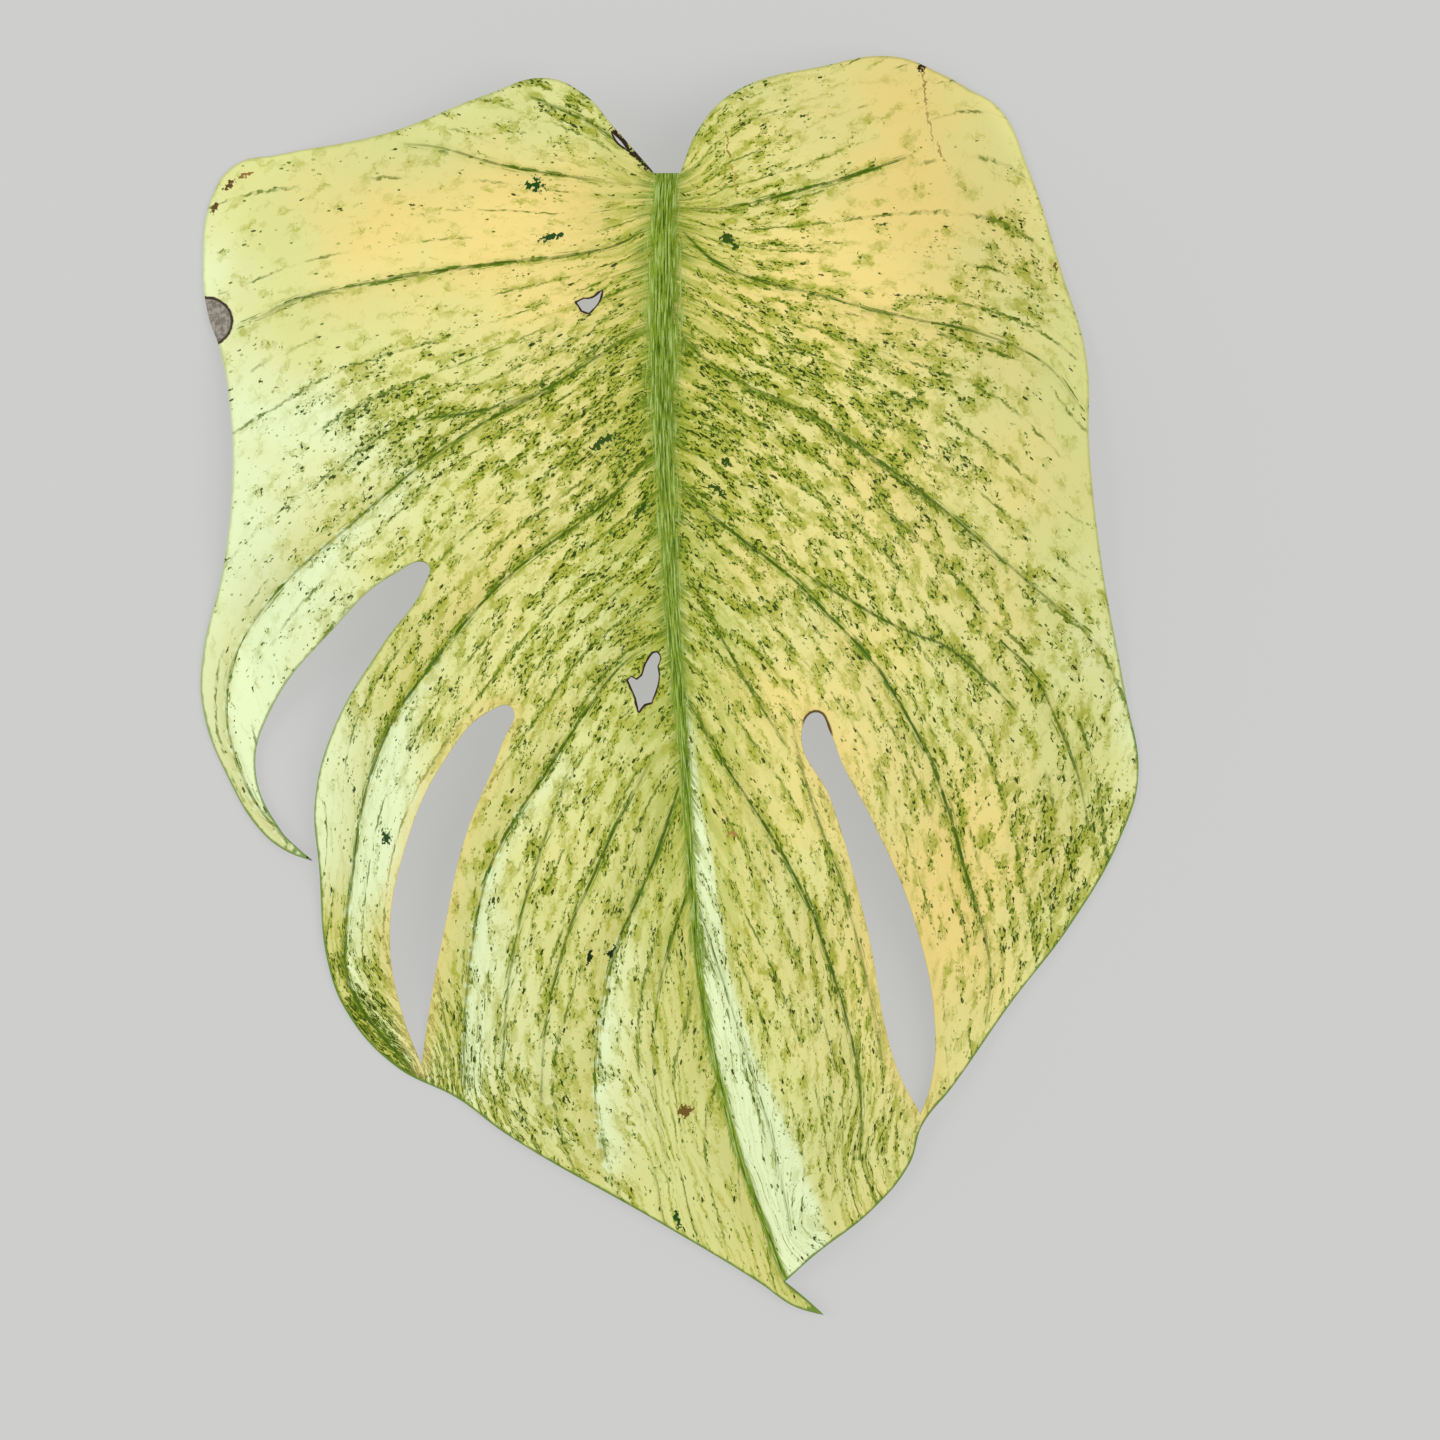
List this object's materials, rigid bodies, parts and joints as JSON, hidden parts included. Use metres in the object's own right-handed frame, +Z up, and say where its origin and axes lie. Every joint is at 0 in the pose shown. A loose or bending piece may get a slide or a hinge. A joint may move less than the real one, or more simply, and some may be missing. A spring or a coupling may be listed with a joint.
{
  "type": "monstera leaf",
  "caption": "Variegated monstera leaf as picked: a domed, split blade with a drip tip, its midrib, and a bent-back stalk under it.",
  "frame": {"origin": "middle of the leaf's bounding box, on the surface it lies on", "axes": "+Z up from the surface, out of the upper face; +Y along the midrib from the drip tip towards the sinus; +X to the right seen from above"},
  "size_m": [0.2067, 0.2771, 0.0306],
  "materials": {
    "leaf_tissue": null
  },
  "bodies": {
    "root": {"leaf": "leaf_tissue"}
  },
  "joints": []
}
